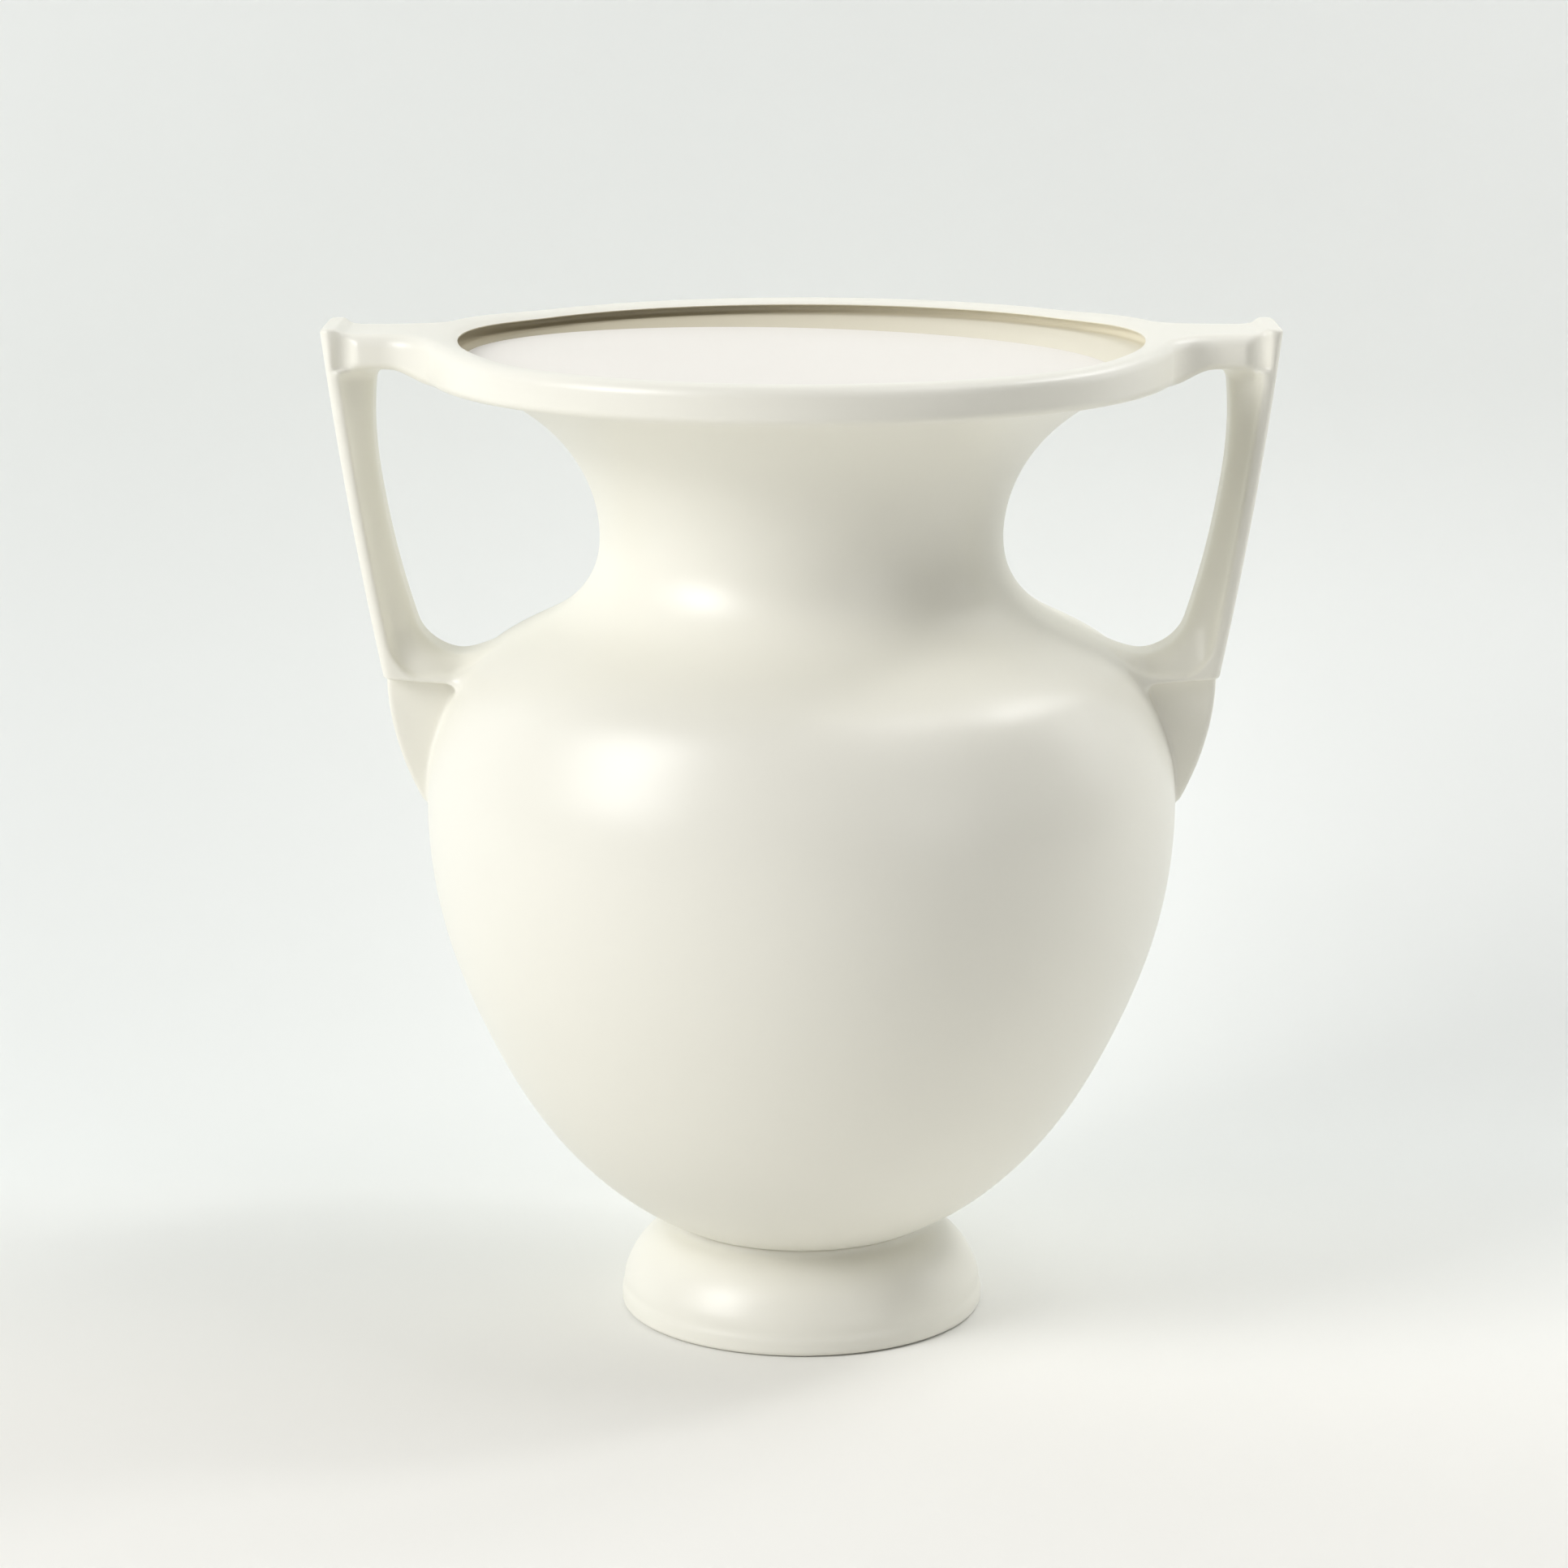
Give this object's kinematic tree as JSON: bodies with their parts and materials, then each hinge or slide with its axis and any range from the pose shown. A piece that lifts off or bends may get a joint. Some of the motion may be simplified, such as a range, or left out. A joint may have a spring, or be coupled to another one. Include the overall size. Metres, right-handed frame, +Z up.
{
  "type": "two-handled vase",
  "caption": "White glazed two-handled vase with an egg-shaped belly on a pedestal foot, a wide rounded rim, angular handles and a loose disc in the mouth.",
  "frame": {"origin": "on the floor, in the middle of the foot", "axes": "+Z up along the axis of the vase, +X towards the right handle, -Y towards the viewer"},
  "size_m": [0.312, 0.2492, 0.3348],
  "materials": {
    "ivory_glaze": "satin ivory-white glaze, smooth, soft highlights",
    "bisque": "matt warm white, unglazed"
  },
  "bodies": {
    "vase": {"foot": "ivory_glaze", "lower_bowl": "ivory_glaze", "shoulder": "ivory_glaze", "neck": "ivory_glaze", "rim": "ivory_glaze", "handle_plate_left": "ivory_glaze", "handle_plate_right": "ivory_glaze", "handle_shaft_left": "ivory_glaze", "handle_shaft_right": "ivory_glaze", "handle_root_left": "ivory_glaze", "handle_root_right": "ivory_glaze", "handle_tail_left": "ivory_glaze", "handle_tail_right": "ivory_glaze"},
    "disc": {"mouth_disc": "bisque"}
  },
  "joints": [
    {"name": "mouth_disc_lift", "type": "slide", "parent": "vase", "child": "disc", "axis": [0, 0, 1], "range_m": [0, 0.06]}
  ]
}
